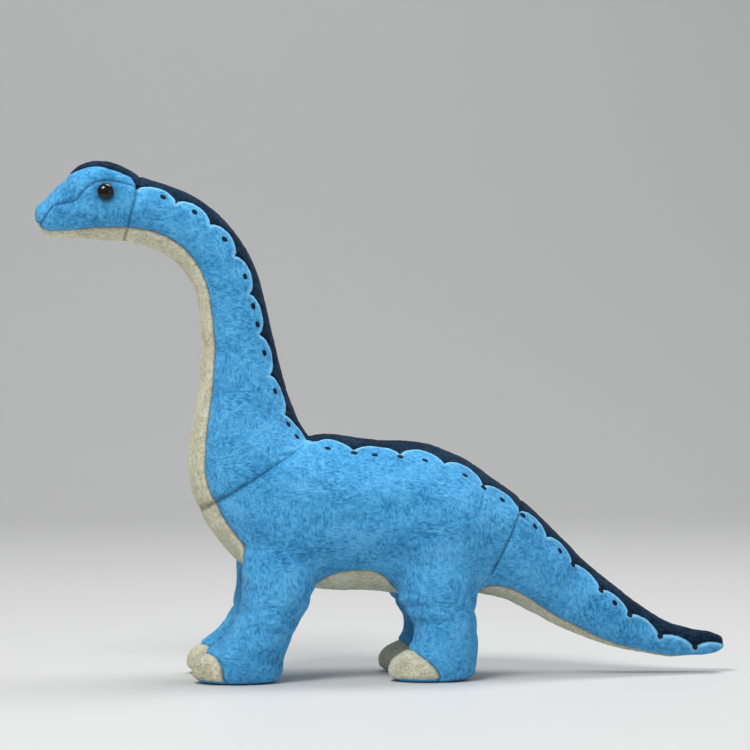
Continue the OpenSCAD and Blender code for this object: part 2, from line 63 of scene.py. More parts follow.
# ---------------------------------------------------------------- dimensions, in metres
NOMINAL_LENGTH = 0.430
SCALE = (CAD_BOX[1].x - CAD_BOX[0].x) / NOMINAL_LENGTH
MM = 0.001 * SCALE

# The trunk's stations, as in the CAD: centre x and z, half height, half width (mm), back and belly angle
STATIONS = np.array([
    [-215.0, 281.5, 0.8, 0.8, 0.6, 146],
    [-212.0, 282.0, 8.5, 9.5, 0.6, 140],
    [-203.0, 284.0, 13.5, 13.5, 0.6, 137],
    [-190.0, 289.0, 20.0, 17.5, 4.0, 136],
    [-176.0, 293.5, 25.5, 22.0, 26.0, 134],
    [-156.0, 289.0, 21.5, 20.0, 44.0, 127],
    [-138.0, 284.0, 20.5, 19.0, 46.0, 122],
    [-121.0, 275.5, 20.0, 18.5, 46.0, 125],
    [-108.0, 263.0, 20.0, 18.5, 47.0, 129],
    [-99.0, 247.0, 20.2, 18.5, 47.0, 132],
    [-94.0, 228.0, 21.0, 19.0, 46.0, 134],
    [-91.0, 207.0, 22.8, 20.5, 44.0, 135],
    [-89.0, 187.0, 25.8, 23.0, 40.0, 137],
    [-87.5, 166.0, 30.5, 27.5, 35.0, 139],
    [-85.0, 146.0, 36.5, 33.0, 31.0, 141],
    [-79.0, 127.0, 43.0, 38.0, 28.0, 142],
    [-62.0, 110.0, 47.5, 42.5, 26.0, 142],
    [-38.0, 102.5, 48.0, 45.0, 26.0, 141],
    [-10.0, 100.0, 46.5, 46.0, 26.0, 141],
    [16.0, 98.0, 46.5, 45.5, 27.0, 141],
    [36.0, 94.0, 43.0, 43.5, 29.0, 140],
    [54.0, 88.0, 37.0, 39.0, 31.0, 140],
    [71.0, 80.5, 32.5, 33.5, 33.0, 139],
    [90.0, 69.5, 26.5, 27.0, 36.0, 139],
    [111.0, 53.5, 22.3, 22.0, 40.0, 142],
    [133.0, 39.8, 19.0, 18.5, 48.0, 147],
    [155.0, 28.3, 15.2, 15.0, 60.0, 155],
    [174.0, 21.3, 11.5, 11.8, 75.0, 163],
    [192.0, 18.2, 9.0, 9.5, 90.0, 168],
    [206.0, 17.5, 7.5, 8.0, 94.0, 170],
    [213.0, 17.5, 4.6, 5.0, 94.0, 170],
    [215.0, 17.5, 0.8, 0.8, 94.0, 170],
])
STATIONS[:, :4] *= MM
HEAD_SEAM, SHOULDER_SEAM, TAIL_SEAM, TAIL_END = 5.0, 15.0, 22.0, len(STATIONS) - 1.0
NECK_CUTS = (8.2, 11.5)
TAIL_CUT = 24.6
BROW_ANGLES = np.array([[130.0], [100], [61], [75], [60], [48]])
CREST_EDGE = ([3.25, 3.6, 4.2, 4.75, 4.93, 5.0], [0.0, 20, 32, 30, 46, 56])

# Legs: height, middle x and half length of each ring (mm)
FRONT_RINGS = np.array([
    [0, -92.5, 24.5], [3, -93.2, 28], [8, -93, 29], [14, -91.5, 28.6], [20, -86.5, 26],
    [28, -79.5, 22.4], [36, -75, 21.4], [46, -70.5, 22], [58, -68, 22.5], [80, -66, 24]]) * MM
HIND_RINGS = np.array([
    [0, 26, 23.5], [3, 26.5, 27], [8, 27, 27.8], [14, 29, 26.5], [20, 33.5, 22.4],
    [28, 35, 20.5], [36, 34, 20.8], [46, 30.5, 23.8], [58, 30.5, 26], [80, 30.5, 27]]) * MM
LEG_OFFSET, LEG_HALF_WIDTH, LEG_TOP = 27 * MM, 17.5 * MM, 78 * MM
TAPER_START, TOP_TAPER = 50 * MM, 0.45
LEG_CUT_HEIGHT, LEG_BLEND_END = 66 * MM, 32 * MM
LEG_REACH = 5 * MM
CREASE, ARCH_ROUND = 4 * MM, 14 * MM
LEGS = {
    "front_left": (FRONT_RINGS, -1), "front_right": (FRONT_RINGS, 1),
    "hind_left": (HIND_RINGS, -1), "hind_right": (HIND_RINGS, 1)}
TOE_CAPS = {"front": (70.0, 4, 20 * MM), "hind": (98.0, 2, 20.5 * MM)}
SOLE_HEIGHT = 1.5 * MM

CUSP_REACH, LOBE_RISE = 1.2, 0.42
SCALLOPS = ((HEAD_SEAM, SHOULDER_SEAM, 8), (SHOULDER_SEAM, TAIL_SEAM, 5), (TAIL_SEAM, TAIL_END, 7))
VOXEL = 2.1 * MM
# Tight inner bends that are smoothed out: the nape, and under the jaw (mm)
BENDS, BEND_ROUNDS = (((-46, 0, 150), 17), ((-170, 0, 266), 11)), 60
FILLET = 9 * MM
SKIRT = 2.5 * MM
# The stuffing's push: size of the cloth's faces, reach of the seams that hold it, furthest and usual push
PUFF_VOXEL, PUFF_HOLD, PUFF_CAP, PUFF_MEAN = 5 * MM, 3 * MM, 3 * MM, 0.4 * MM
PUFF_PRESSURE = 900
MUZZLE = np.array([-203, 0, 286]) * MM
# Folds of a leg: height, middle angle, span, tilt and depth, in mm and degrees
FOLDS = {
    "front": ((43, 20, 60, 0.35, 1.2), (30, 120, 45, -0.4, 0.9), (52, 150, 40, 0.2, 0.8)),
    "hind": ((45, 15, 65, 0.4, 1.5), (36, 60, 55, 0.3, 1.1), (42, 150, 45, -0.3, 1.0), (27, 130, 40, 0.2, 0.8))}
# Bulges of the body's sides: place x and z, reach and rise (mm)
BULGES = ((-64, 78, 24, 2.6), (33, 76, 26, 2.6), (-16, 66, 20, -3.0), (-70, 130, 26, 1.2))


# ---------------------------------------------------------------- the trunk as a formula
def spline(table, u, slope=False):
    """Catmull-Rom curve through the table's rows at places u, or its slope."""
    u = np.atleast_1d(u)
    i = np.clip(np.floor(u).astype(int), 0, len(table) - 2)
    f = (u - i)[:, None]
    p, q, r, s = (table[np.clip(i + k, 0, len(table) - 1)] for k in (-1, 0, 1, 2))
    b, c = 2 * p - 5 * q + 4 * r - s, 3 * q - p - 3 * r + s
    if slope:
        return 0.5 * (r - p + 2 * b * f + 3 * c * f * f)
    return 0.5 * (2 * q + (r - p) * f + b * f * f + c * f ** 3)


def trunk(u, degrees, lift=0.0, reach=1.0):
    """Points of the trunk at stations u, at angles from the top of the back."""
    u, a = np.broadcast_arrays(np.atleast_1d(np.asarray(u, float)), np.radians(degrees))
    row, t = spline(STATIONS, u), spline(STATIONS, u, True)[:, :2]
    t /= np.linalg.norm(t, axis=1)[:, None]
    up = (row[:, 2] + lift) * reach * np.cos(a)
    out = (row[:, 3] + lift) * reach * np.sin(a)
    return np.stack([row[:, 0] - t[:, 1] * up, out, row[:, 1] + t[:, 0] * up], 1)


STEPS_PER_STATION = 40
SPINE_U = np.linspace(0, TAIL_END, int(TAIL_END) * STEPS_PER_STATION + 1)
SPINE_ROWS = spline(STATIONS, SPINE_U)
SPINE_T = spline(STATIONS, SPINE_U, True)[:, :2]
SPINE_T /= np.linalg.norm(SPINE_T, axis=1)[:, None]
SPINE_S = np.concatenate([[0], np.cumsum(np.linalg.norm(np.diff(SPINE_ROWS[:, :2], axis=0), axis=1))])


def length_of(points):
    return np.concatenate([[0], np.cumsum(np.linalg.norm(np.diff(points, axis=0), axis=1))])


BACK_LENGTH = length_of(trunk(SPINE_U, SPINE_ROWS[:, 4]))


def nearest_station(p, chunk=6000):
    """Index of the spine sample whose section holds each point."""
    found = np.empty(len(p), int)
    xz = SPINE_ROWS[:, :2].astype(np.float32)
    for i in range(0, len(p), chunk):
        q = p[i:i + chunk, ::2].astype(np.float32)
        d = (q[:, :1] - xz[None, :, 0]) ** 2 + (q[:, 1:] - xz[None, :, 1]) ** 2
        found[i:i + chunk] = d.argmin(1)
    return found


def locate(p):
    """Where points lie on the trunk: station, angle from the back in degrees, and distance from the skin."""
    i = nearest_station(p)
    row, t = SPINE_ROWS[i], SPINE_T[i]
    dx, dz = p[:, 0] - row[:, 0], p[:, 2] - row[:, 1]
    along = dx * t[:, 0] + dz * t[:, 1]
    up, out = dz * t[:, 0] - dx * t[:, 1], p[:, 1]
    ends = (i == 0) | (i == len(SPINE_U) - 1)
    past = np.where(ends, along, 0)
    tip = 2 * MM
    reach = np.sqrt((up / row[:, 2]) ** 2 + (out / row[:, 3]) ** 2 + (past / tip) ** 2) + 1e-9
    slope = np.sqrt((up / row[:, 2] ** 2) ** 2 + (out / row[:, 3] ** 2) ** 2 + (past / tip ** 2) ** 2) / reach
    speed = np.linalg.norm(spline(STATIONS, SPINE_U[i], True)[:, :2], axis=1)
    u = np.clip(SPINE_U[i] + np.where(ends, 0, along / speed), 0, TAIL_END)
    angle = np.degrees(np.arctan2(np.abs(out) / row[:, 3], up / row[:, 2]))
    return u, angle, (reach - 1) / (slope + 1e-9)


def at_u(u, values):
    return np.interp(u, SPINE_U, values)


# ---------------------------------------------------------------- the legs as a formula
def foot_width(z):
    return np.where(z < 3 * MM, 0.9 + z / (30 * MM), 1.0)


def leg_section(rings, z):
    z = np.clip(z, 0, rings[-1, 0])
    place = np.interp(z, rings[:, 0], np.arange(len(rings)))
    row = spline(rings, place)
    closing = np.clip((z - TAPER_START) / (LEG_TOP - TAPER_START), 0, 1) ** 2
    return row[:, 1], row[:, 2], LEG_HALF_WIDTH * foot_width(z) * (1 - TOP_TAPER * closing)


def leg_place(p, rings, side):
    """Angle from straight ahead, in degrees and positive outside, and distance from the leg's skin."""
    cx, half, wide = leg_section(rings, p[:, 2])
    ahead, out = (cx - p[:, 0]) / half, (side * p[:, 1] - LEG_OFFSET) / wide
    reach = np.hypot(ahead, out) + 1e-9
    slope = np.hypot(ahead / half, out / wide) / reach
    return np.degrees(np.arctan2(out, ahead)), (reach - 1) / (slope + 1e-9)


def smooth_min(a, b, k):
    h = np.clip(0.5 + 0.5 * (b - a) / k, 0, 1)
    return b + (a - b) * h - k * h * (1 - h)


def leg_distance(p, rings, side):
    d = leg_place(p, rings, side)[1]
    rounded_sole = -smooth_min(-d, p[:, 2], 4 * MM)
    return -smooth_min(-rounded_sole, LEG_TOP - p[:, 2], 4 * MM)


def skin_distance(p):
    d = locate(p)[2]
    for rings, side in LEGS.values():
        near = np.abs(p[:, 0] - rings[4, 1]) < 75 * MM
        near &= (p[:, 2] < 95 * MM) & (side * p[:, 1] > -25 * MM)
        q = p[near]
        d[near] = smooth_min(d[near], leg_distance(q, rings, side), FILLET)
    return d


# ---------------------------------------------------------------- mesh arrays
def make_object(name, verts, faces):
    mesh = bpy.data.meshes.new(name)
    mesh.from_pydata([tuple(v) for v in verts], [], [tuple(f) for f in faces])
    obj = bpy.data.objects.new(name, mesh)
    bpy.context.scene.collection.objects.link(obj)
    return obj


def tube(rings):
    """Closed mesh over rings of equal size, with a fan over each end."""
    n, m = len(rings), len(rings[0])
    verts = np.concatenate([np.concatenate(rings), [rings[0].mean(0)], [rings[-1].mean(0)]])
    j = np.arange(m)
    jj = (j + 1) % m
    walls = [np.stack([i * m + j, i * m + jj, (i + 1) * m + jj, (i + 1) * m + j], 1) for i in range(n - 1)]
    caps = [(n * m, b, a) for a, b in zip(j, jj)]
    caps += [(n * m + 1, (n - 1) * m + a, (n - 1) * m + b) for a, b in zip(j, jj)]
    return verts, [tuple(f) for w in walls for f in w.tolist()] + caps


def evaluated(obj):
    """The mesh that an object's modifiers make, as a point array and triangles, and the object removed."""
    dg = bpy.context.evaluated_depsgraph_get()
    mesh = obj.evaluated_get(dg).to_mesh()
    verts = np.empty(len(mesh.vertices) * 3)
    mesh.vertices.foreach_get("co", verts)
    mesh.calc_loop_triangles()
    tris = np.empty(len(mesh.loop_triangles) * 3, np.int32)
    mesh.loop_triangles.foreach_get("vertices", tris)
    polys = [tuple(p.vertices) for p in mesh.polygons]
    obj.to_mesh_clear()
    bpy.data.objects.remove(obj)
    return verts.reshape(-1, 3), tris.reshape(-1, 3), polys


def normals_of(v, t):
    n = np.cross(v[t[:, 1]] - v[t[:, 0]], v[t[:, 2]] - v[t[:, 0]])
    total = np.stack([np.bincount(t.ravel(), np.repeat(n[:, k], 3), len(v)) for k in range(3)], 1)
    return total / (np.linalg.norm(total, axis=1)[:, None] + 1e-20)


def relaxed(v, t, amount=0.5):
    """Each point moved towards the middle of its neighbours."""
    e = np.concatenate([t[:, [0, 1]], t[:, [1, 2]], t[:, [2, 0]]])
    count = np.bincount(e[:, 0], minlength=len(v))[:, None]
    total = np.stack([np.bincount(e[:, 0], v[e[:, 1], k], len(v)) for k in range(3)], 1)
    return v + amount * (total / np.maximum(count, 1) - v)


def projected(v, rounds):
    """Points moved onto the skin's surface along its slope."""
    step = 0.2 * MM
    for _ in range(rounds):
        d = skin_distance(v)
        g = np.stack([(skin_distance(v + step * e) - d) / step for e in np.eye(3)], 1)
        v = v - g * (d / np.maximum((g * g).sum(1), 0.2))[:, None]
    return v


def raw_skin(voxel):
    """Closed mesh over trunk and legs, remeshed to even faces of that size."""
    around = np.arange(0, 360, 7.5)
    rings = [trunk(np.full(len(around), u), around) for u in np.arange(0, TAIL_END + 0.01, 0.2)]
    verts, faces = tube(rings)
    for rings_of, side in LEGS.values():
        heights = np.arange(0, LEG_TOP, 2 * MM)
        a = np.radians(around)
        rings = []
        for z in heights:
            cx, half, wide = leg_section(rings_of, np.array([z]))
            rings.append(np.stack([
                cx - half * np.cos(a), side * (LEG_OFFSET + wide * np.sin(a)), np.full(len(a), z)], 1))
        more, more_faces = tube(rings if side > 0 else [r[::-1] for r in rings])
        faces += [tuple(i + len(verts) for i in f) for f in more_faces]
        verts = np.concatenate([verts, more])
    raw = make_object("raw_skin", verts, faces)
    remesh = raw.modifiers.new("remesh", "REMESH")
    remesh.mode, remesh.voxel_size = "VOXEL", voxel
    v, t, polys = evaluated(raw)
    for _ in range(3):
        v = projected(relaxed(v, t), 1)
    return v, t, polys


def skin_mesh():
    v, t, polys = raw_skin(VOXEL)
    coarse = make_object("coarse_skin", v, polys)
    coarse.modifiers.new("subdivision", "SUBSURF").levels = 1
    v, t, _ = evaluated(coarse)
    v = projected(v, 1)
    for place, reach in BENDS:
        weight = gauss(np.linalg.norm((v - np.array(place) * MM) * (1, 0.6, 1), axis=1), reach * MM)
        used, part = np.unique(t[(weight[t] > 0.001).any(1)], return_inverse=True)
        part, weight, local = part.reshape(-1, 3), weight[used][:, None], v[used]
        for _ in range(BEND_ROUNDS):
            local = local + (relaxed(local, part) - local) * weight
        v[used] = local
    return v, t


# ---------------------------------------------------------------- noise
def hashed(i, j, k, seed):
    h = (i * 374761393 + j * 668265263 + k * 2147483647 + seed * 974634777) & 0xFFFFFFFF
    h = ((h ^ (h >> 13)) * 1274126177) & 0xFFFFFFFF
    return ((h ^ (h >> 16)) & 0xFFFF) / 32767.5 - 1


def noise(p, size, seed=0):
    """Smooth noise from -1 to 1 over lumps of that size."""
    q = p / size
    i = np.floor(q).astype(np.int64)
    f = q - i
    f = f * f * (3 - 2 * f)
    total = np.zeros(len(p))
    for a in (0, 1):
        for b in (0, 1):
            for c in (0, 1):
                w = np.abs(1 - a - f[:, 0]) * np.abs(1 - b - f[:, 1]) * np.abs(1 - c - f[:, 2])
                total += w * hashed(i[:, 0] + a, i[:, 1] + b, i[:, 2] + c, seed)
    return total


# ---------------------------------------------------------------- seams
def cusp_angle(u):
    return at_u(u, SPINE_ROWS[:, 4])


def edge_angle(u):
    """Angle of the back gusset's scalloped edge."""
    cusp = cusp_angle(u)
    lobe = np.zeros_like(cusp)
    for first, last, count in SCALLOPS:
        a, b = at_u(first, BACK_LENGTH), at_u(last, BACK_LENGTH)
        f = count * (at_u(u, BACK_LENGTH) - a) / (b - a)
        inside = (u >= first) & (u <= last)
        lobe = np.where(inside, np.abs(np.sin(np.pi * f)) ** 0.55, lobe)
    scalloped = cusp * (CUSP_REACH - LOBE_RISE * lobe)
    return np.where(u < HEAD_SEAM, np.interp(u, *CREST_EDGE), scalloped)


def curve_distance(p, curve, reach):
    """Distance to a curve on the right side, mirrored, for points nearer than reach; elsewhere reach."""
    q = p * np.array([1, 0, 1]) + np.abs(p) * np.array([0, 1, 0])
    out = np.full(len(p), reach)
    low, high = curve.min(0) - reach, curve.max(0) + reach
    near = np.flatnonzero(((q > low) & (q < high)).all(1))
    for i in range(0, len(near), 3000):
        part = near[i:i + 3000]
        d = ((q[part, None] - curve[None]) ** 2).sum(2).min(1)
        out[part] = np.minimum(out[part], np.sqrt(d))
    return out


def curve_on_trunk(first, last, angle_of, step=0.5 * MM):
    u = np.linspace(first, last, 4000)
    points = trunk(u, angle_of(u))
    s = length_of(points)
    keep = np.interp(np.arange(0, s[-1], step), s, u)
    return trunk(keep, angle_of(keep))


def gauss(d, width):
    return np.exp(-((d / width) ** 2))


class Skin:
    """The skin's points and triangles, with a value per point for each named field."""

    def __init__(self, v, t):
        self.v, self.t, self.f = v, t, {}

    def cut(self, name):
        """Splits triangles where a field crosses zero, so that each lies on one side."""
        f = self.f[name]
        f[np.abs(f) < 1e-7] = 0
        sign = np.sign(f).astype(int)[self.t]
        low, high = sign.min(1), sign.max(1)
        crossing = (low < 0) & (high > 0)
        tris, sign = self.t[crossing], sign[crossing]
        through = (sign == 0).any(1)
        lone = np.where(through, (sign == 0).argmax(1), np.where(
            sign[:, 0] == sign[:, 1], 2, np.where(sign[:, 0] == sign[:, 2], 1, 0)))
        rows = np.arange(len(tris))
        a, b, c = (tris[rows, (lone + k) % 3] for k in range(3))
        edges = np.concatenate([
            np.stack([a, b], 1)[~through], np.stack([a, c], 1)[~through], np.stack([b, c], 1)[through]])
        keys = np.sort(edges, 1)
        unique, index = np.unique(keys, axis=0, return_inverse=True)
        index = index.ravel() + len(self.v)
        w = (f[unique[:, 0]] / (f[unique[:, 0]] - f[unique[:, 1]]))
        for key, values in self.f.items():
            x, y = values[unique[:, 0]], values[unique[:, 1]]
            mix = w if values.ndim == 1 else w[:, None]
            self.f[key] = np.concatenate([values, x + mix * (y - x)])
        self.f[name][len(self.v):] = 0
        x, y = self.v[unique[:, 0]], self.v[unique[:, 1]]
        self.v = np.concatenate([self.v, x + w[:, None] * (y - x)])
        n = (~through).sum()
        ab, ac, bc = index[:n], index[n:2 * n], index[2 * n:]
        a1, b1, c1 = a[~through], b[~through], c[~through]
        a2, b2, c2 = a[through], b[through], c[through]
        new = [np.stack(x, 1) for x in (
            (a1, ab, ac), (ab, b1, c1), (ab, c1, ac), (a2, b2, bc), (a2, bc, c2))]
        self.t = np.concatenate([self.t[~crossing]] + new)

    def side(self, name):
        """Mean of a field over each triangle."""
        return self.f[name][self.t].mean(1)


def leg_fields(skin):
    """Leg zone, toe cap, sole and inner-outer split, all in metres and negative inside."""
    v = skin.v
    zone, toe, top = (np.full(len(v), 20 * MM) for _ in range(3))
    for name, (rings, side) in LEGS.items():
        angle, d = leg_place(v, rings, side)
        far = np.maximum(np.abs(v[:, 0] - rings[4, 1]) - 60 * MM, -side * v[:, 1])
        mine = np.maximum(np.maximum(v[:, 2] - LEG_CUT_HEIGHT, d - LEG_REACH), far)
        zone = np.minimum(zone, mine)
        over_leg = d + np.maximum(v[:, 2] - LEG_CUT_HEIGHT, 0) * 0.8
        top = np.minimum(top, np.maximum(over_leg - CREASE, far))
        spread, power, height = TOE_CAPS[name.split("_")[0]]
        z = np.clip(v[:, 2] / height, 0, 1)
        limit = spread * np.sqrt(1 - z ** power)
        edge = np.radians(np.abs(angle) - limit) * LEG_HALF_WIDTH * 1.3
        toe = np.minimum(toe, np.maximum(np.maximum(edge, v[:, 2] - height), mine))
    skin.f["zone"], skin.f["toe"], skin.f["leg_top"] = zone, toe, top
    skin.f["belly"] = -smooth_min(-skin.f["belly"], top, ARCH_ROUND)
    skin.f["sole"] = v[:, 2] - SOLE_HEIGHT
    skin.f["split"] = np.abs(v[:, 1]) - LEG_OFFSET


def belly_angle(u):
    return at_u(u, SPINE_ROWS[:, 5])


def brow_angle(u):
    return spline(BROW_ANGLES, np.clip(u, 0, HEAD_SEAM))[:, 0]


def trunk_fields(skin):
    u, angle, d = locate(skin.v)
    skin.f["u"], skin.f["angle"] = u, angle
    radius = (at_u(u, SPINE_ROWS[:, 2]) + at_u(u, SPINE_ROWS[:, 3])) / 2
    arc = np.radians(1) * radius
    skin.f["back"] = (angle - edge_angle(u)) * arc
    skin.f["belly"] = (belly_angle(u) - angle) * arc
    skin.f["brow"] = np.where(u < HEAD_SEAM + 0.3, (angle - brow_angle(u)) * arc, 10 * MM)
    skin.f["middle"] = skin.v[:, 1] + np.maximum(u - 3.2, 0) * 100 * MM
    for name, place in (("head", HEAD_SEAM), ("neck_a", NECK_CUTS[0]), ("neck_b", NECK_CUTS[1]),
                        ("shoulder", SHOULDER_SEAM), ("rump", TAIL_SEAM), ("tail", TAIL_CUT)):
        skin.f[name] = at_u(u, SPINE_S) - at_u(place, SPINE_S)


EYE_STATION, EYE_ANGLE = 4.15, 76.0


def eye_frame(side):
    """Middle of an eye on the skin, and the way it looks out."""
    p = trunk(EYE_STATION, side * EYE_ANGLE)[0]
    away = trunk(EYE_STATION, side * EYE_ANGLE, lift=1 * MM)[0] - p
    return p, away / np.linalg.norm(away)


SEAM_REACH = 16 * MM


def seam_distances(skin):
    """Distance from each point to each kind of seam, up to SEAM_REACH."""
    v, f = skin.v, skin.f
    out_of_legs = f["zone"] > 1 * MM
    seams = {
        "scallop": curve_distance(v, curve_on_trunk(HEAD_SEAM, TAIL_END - 0.3, edge_angle), SEAM_REACH),
        "crest": curve_distance(v, curve_on_trunk(3.3, HEAD_SEAM, edge_angle), SEAM_REACH),
        "belly": curve_distance(v, curve_on_trunk(0.4, TAIL_END - 0.6, belly_angle), SEAM_REACH),
        "brow": curve_distance(v, curve_on_trunk(0.3, HEAD_SEAM, brow_angle), SEAM_REACH),
        "round": np.minimum(np.minimum(np.abs(f["head"]), np.abs(f["shoulder"])), np.abs(f["rump"])),
        "toe": np.abs(f["toe"]),
        "split": np.where((f["zone"] < 0) & (f["toe"] > 0), np.abs(f["split"]), SEAM_REACH)}
    seams["belly"] = np.where(f["leg_top"] > ARCH_ROUND, seams["belly"], np.abs(f["belly"]))
    seams["round"] = np.where(out_of_legs, seams["round"], SEAM_REACH)
    return seams


def puffed(v):
    """How far the stuffing pushes each point out, from a cloth held along its seams and blown up."""
    points, tris, polys = raw_skin(PUFF_VOXEL)
    cloth_skin = Skin(points, tris)
    trunk_fields(cloth_skin)
    leg_fields(cloth_skin)
    seams = seam_distances(cloth_skin)
    nearest = np.min([seams[k] for k in seams if k != "split"], axis=0)
    hold = np.clip(gauss(nearest, PUFF_HOLD), 0, 1)
    hold[points[:, 2] < SOLE_HEIGHT] = 1
    obj = make_object("puff_cloth", points, polys)
    group = obj.vertex_groups.new(name="hold")
    for i in np.flatnonzero(hold > 0.3):
        group.add([int(i)], float(hold[i]), "REPLACE")
    cloth = obj.modifiers.new("cloth", "CLOTH")
    cloth.settings.use_pressure = True
    cloth.settings.uniform_pressure_force = PUFF_PRESSURE
    cloth.settings.vertex_group_mass = "hold"
    cloth.settings.quality = 4
    cloth.settings.mass = 0.01
    cloth.settings.tension_stiffness = cloth.settings.compression_stiffness = 5
    cloth.settings.bending_stiffness = 0.6
    cloth.settings.effector_weights.gravity = 0
    for frame_number in range(1, 21):
        bpy.context.scene.frame_set(frame_number)
    after, _, _ = evaluated(obj)
    bpy.context.scene.frame_set(1)
    push = ((after - points) * normals_of(points, tris)).sum(1)
    push = np.clip(push, -PUFF_CAP, PUFF_CAP)
    tree = KDTree(len(points))
    for i, point in enumerate(points):
        tree.insert(point, i)
    tree.balance()
    out = np.empty(len(v))
    for i, point in enumerate(v):
        found = tree.find_n(point, 4)
        w = [1 / (d + 0.5 * MM) for _, _, d in found]
        out[i] = sum(push[k] * x for (_, k, _), x in zip(found, w)) / sum(w)
    return out


def leg_folds(v):
    """Grooves of the soft folds that run across each leg above the foot."""
    move = np.zeros(len(v))
    for name, (rings, side) in LEGS.items():
        angle, d = leg_place(v, rings, side)
        mine = (np.abs(d) < 12 * MM) & (side * v[:, 1] > 0) & (np.abs(v[:, 0] - rings[4, 1]) < 50 * MM)
        for height, middle, span, tilt, depth in FOLDS[name.split("_")[0]]:
            turn = (angle - middle + 180) % 360 - 180
            line = height * MM + tilt * turn * MM / 10 + 1.2 * MM * noise(v, 14 * MM, 31)
            window = gauss(turn / span, 1)
            groove = gauss(v[:, 2] - line, 2.0 * MM) - 0.55 * gauss(v[:, 2] - line - 5 * MM, 3.2 * MM)
            move -= np.where(mine, depth * MM * groove * window, 0)
    return move


def muscles(v):
    """Fuller shoulders and haunches over the legs, and a flatter flank between them."""
    move = np.zeros(len(v))
    for x, z, reach, rise in BULGES:
        d = np.hypot(v[:, 0] - x * MM, v[:, 2] - z * MM) / (reach * MM)
        move += rise * MM * gauss(d, 1) * np.clip(np.abs(v[:, 1]) / (20 * MM), 0, 1)
    return move


def shape_skin(skin):
    """Seams pulled in, panels crowned between them, soft lumps, folds and nap."""
    v, t, f = skin.v, skin.t, skin.f
    seams = seam_distances(skin)
    scallop, split = seams["scallop"], seams["split"]
    panels = np.minimum(seams["crest"], seams["brow"])
    normal = normals_of(v, t)
    navy = (f["back"] < 0) & (f["u"] > HEAD_SEAM)
    flat = np.clip(v[:, 2] / (2 * MM), 0.1, 1)
    move = -0.8 * MM * gauss(panels, 1.3 * MM) - 0.5 * MM * gauss(panels, 5 * MM)
    move -= 0.6 * MM * gauss(seams["round"], 1.1 * MM) + 0.25 * MM * gauss(seams["round"], 5 * MM)
    move -= 1.0 * MM * gauss(seams["belly"], 1.5 * MM) + 0.4 * MM * gauss(seams["belly"], 5 * MM)
    move += np.where(navy, -0.7 * MM * gauss(scallop, 3.2 * MM), 0.45 * MM * gauss(scallop - 1.8 * MM, 1.4 * MM))
    move -= 0.7 * MM * gauss(scallop, 0.9 * MM)
    move -= 1.0 * MM * gauss(seams["toe"], 1.6 * MM) + 0.4 * MM * gauss(seams["toe"], 5 * MM)
    move -= 0.4 * MM * gauss(split, 1.3 * MM)
    move += 0.5 * MM * noise(v, 26 * MM, 3) + 0.35 * MM * noise(v, 12 * MM, 5)
    move += puffed(v) - PUFF_MEAN + leg_folds(v) + muscles(v)
    muzzle = np.linalg.norm((v - MUZZLE) * (0.8, 1, 1.1), axis=1)
    move += 1.8 * MM * gauss(muzzle, 12 * MM)
    for side in (-1, 1):
        p, away = eye_frame(side)
        d = np.linalg.norm(v - p, axis=1)
        move -= 2.2 * MM * gauss(d, 7 * MM)
        above = gauss(np.linalg.norm(v - p - np.array([0, 0, 8.5]) * MM, axis=1), 5 * MM)
        move += 1.1 * MM * above
        f["shade"] = np.maximum(f.get("shade", np.zeros(len(v))), gauss(d, 7.5 * MM))
    nap = 0.17 * MM * noise(v * np.array([1, 1, 0.5]), 1.7 * MM, 7)
    nap += 0.16 * MM * noise(v * np.array([0.55, 1, 1]), 2.6 * MM, 8)
    # Painted shade in each seam groove, with some real darkening where the pile parts; skin_piece sets the turned-in
    # allowance fully dark.
    f["seam"] = np.maximum(
        gauss(np.min([panels, seams["round"], seams["belly"], seams["toe"]], axis=0), 0.75 * MM),
        np.maximum(gauss(scallop, 0.6 * MM), 0.4 * gauss(split, 0.7 * MM)))
    # Painted highlight on the blue side of each scalloped edge, where the puffed pile edge catches the light.
    f["rim"] = np.where(navy | (f["u"] < HEAD_SEAM), 0, gauss(scallop - 1.6 * MM, 1.2 * MM))
    skin.v = v + normal * ((move + nap) * flat)[:, None]
    skin.v[:, 2] = np.maximum(skin.v[:, 2], 0)


# ---------------------------------------------------------------- materials
def shader_nodes(name):
    mat = bpy.data.materials.new(name)
    mat.use_nodes = True
    nodes = mat.node_tree.nodes
    nodes.clear()
    out = nodes.new("ShaderNodeOutputMaterial")
    shader = nodes.new("ShaderNodeBsdfPrincipled")
    mat.node_tree.links.new(shader.outputs["BSDF"], out.inputs["Surface"])
    return mat, mat.node_tree, shader


def add(tree, kind, **values):
    node = tree.nodes.new(kind)
    for key, value in values.items():
        if key in node.inputs.keys():
            node.inputs[key].default_value = value
        else:
            setattr(node, key, value)
    return node


def noise_node(tree, vector, scale, detail, stretch=(1, 1, 1), turn=(0, 0, 0)):
    mapping = add(tree, "ShaderNodeMapping")
    mapping.inputs["Scale"].default_value = stretch
    mapping.inputs["Rotation"].default_value = turn
    tree.links.new(vector, mapping.inputs["Vector"])
    node = add(tree, "ShaderNodeTexNoise", Scale=scale, Detail=detail, Roughness=0.6)
    tree.links.new(mapping.outputs["Vector"], node.inputs["Vector"])
    return node.outputs["Fac"]


def math_node(tree, operation, a, b=None, clamp=False):
    node = add(tree, "ShaderNodeMath", operation=operation, use_clamp=clamp)
    for i, x in enumerate((a, b)):
        if x is None:
            continue
        if isinstance(x, (int, float)):
            node.inputs[i].default_value = x
        else:
            tree.links.new(x, node.inputs[i])
    return node.outputs[0]


def mix_colour(tree, fac, a, b, blend="MIX"):
    node = add(tree, "ShaderNodeMix", data_type="RGBA", blend_type=blend)
    for socket, x in ((node.inputs[0], fac), (node.inputs[6], a), (node.inputs[7], b)):
        if isinstance(x, (int, float)):
            socket.default_value = x
        elif isinstance(x, tuple):
            socket.default_value = (*x, 1)
        else:
            tree.links.new(x, socket)
    return node.outputs[2]


